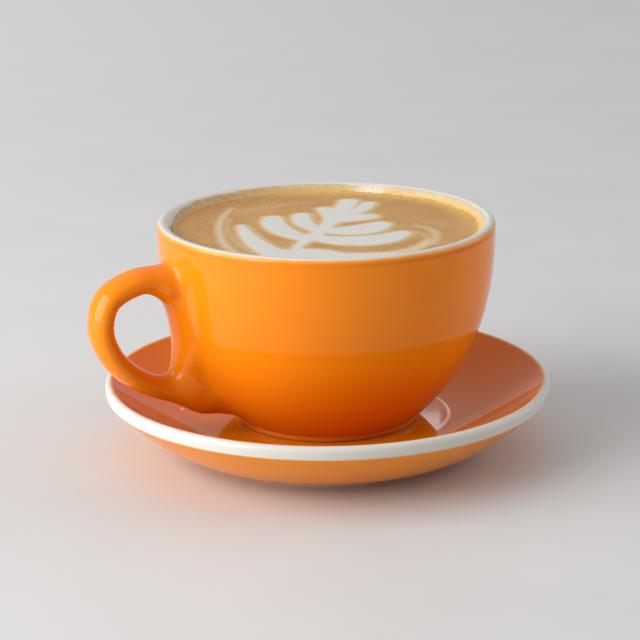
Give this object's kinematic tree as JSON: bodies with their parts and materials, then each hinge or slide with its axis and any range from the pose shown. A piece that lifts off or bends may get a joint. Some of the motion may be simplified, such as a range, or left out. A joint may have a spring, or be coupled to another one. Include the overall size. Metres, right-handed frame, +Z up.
{
  "type": "latte in a cup and saucer",
  "caption": "Wide round coffee cup with a ring handle on a deep saucer, filled to just under its lip with a latte that carries a poured leaf of milk foam.",
  "frame": {"origin": "on the table, in the middle of the box round cup and saucer; the cup's upright axis is 4.3 mm from it towards +X", "axes": "+Z up along the cup's axis, the handle points to -X, Y runs across the handle"},
  "size_m": [0.1544, 0.1458, 0.0768],
  "materials": {
    "cup_glaze": "glossy orange glaze outside, white glaze inside and over the lip",
    "saucer_glaze": "glossy orange glaze with a white band over the rim and a bare foot",
    "crema": "fine brown coffee foam, moist satin",
    "milk_foam": "fine white milk foam, moist satin"
  },
  "bodies": {
    "root": {"saucer": "saucer_glaze", "cup": "cup_glaze", "latte": "crema", "foam_leaf": "milk_foam"}
  },
  "joints": []
}
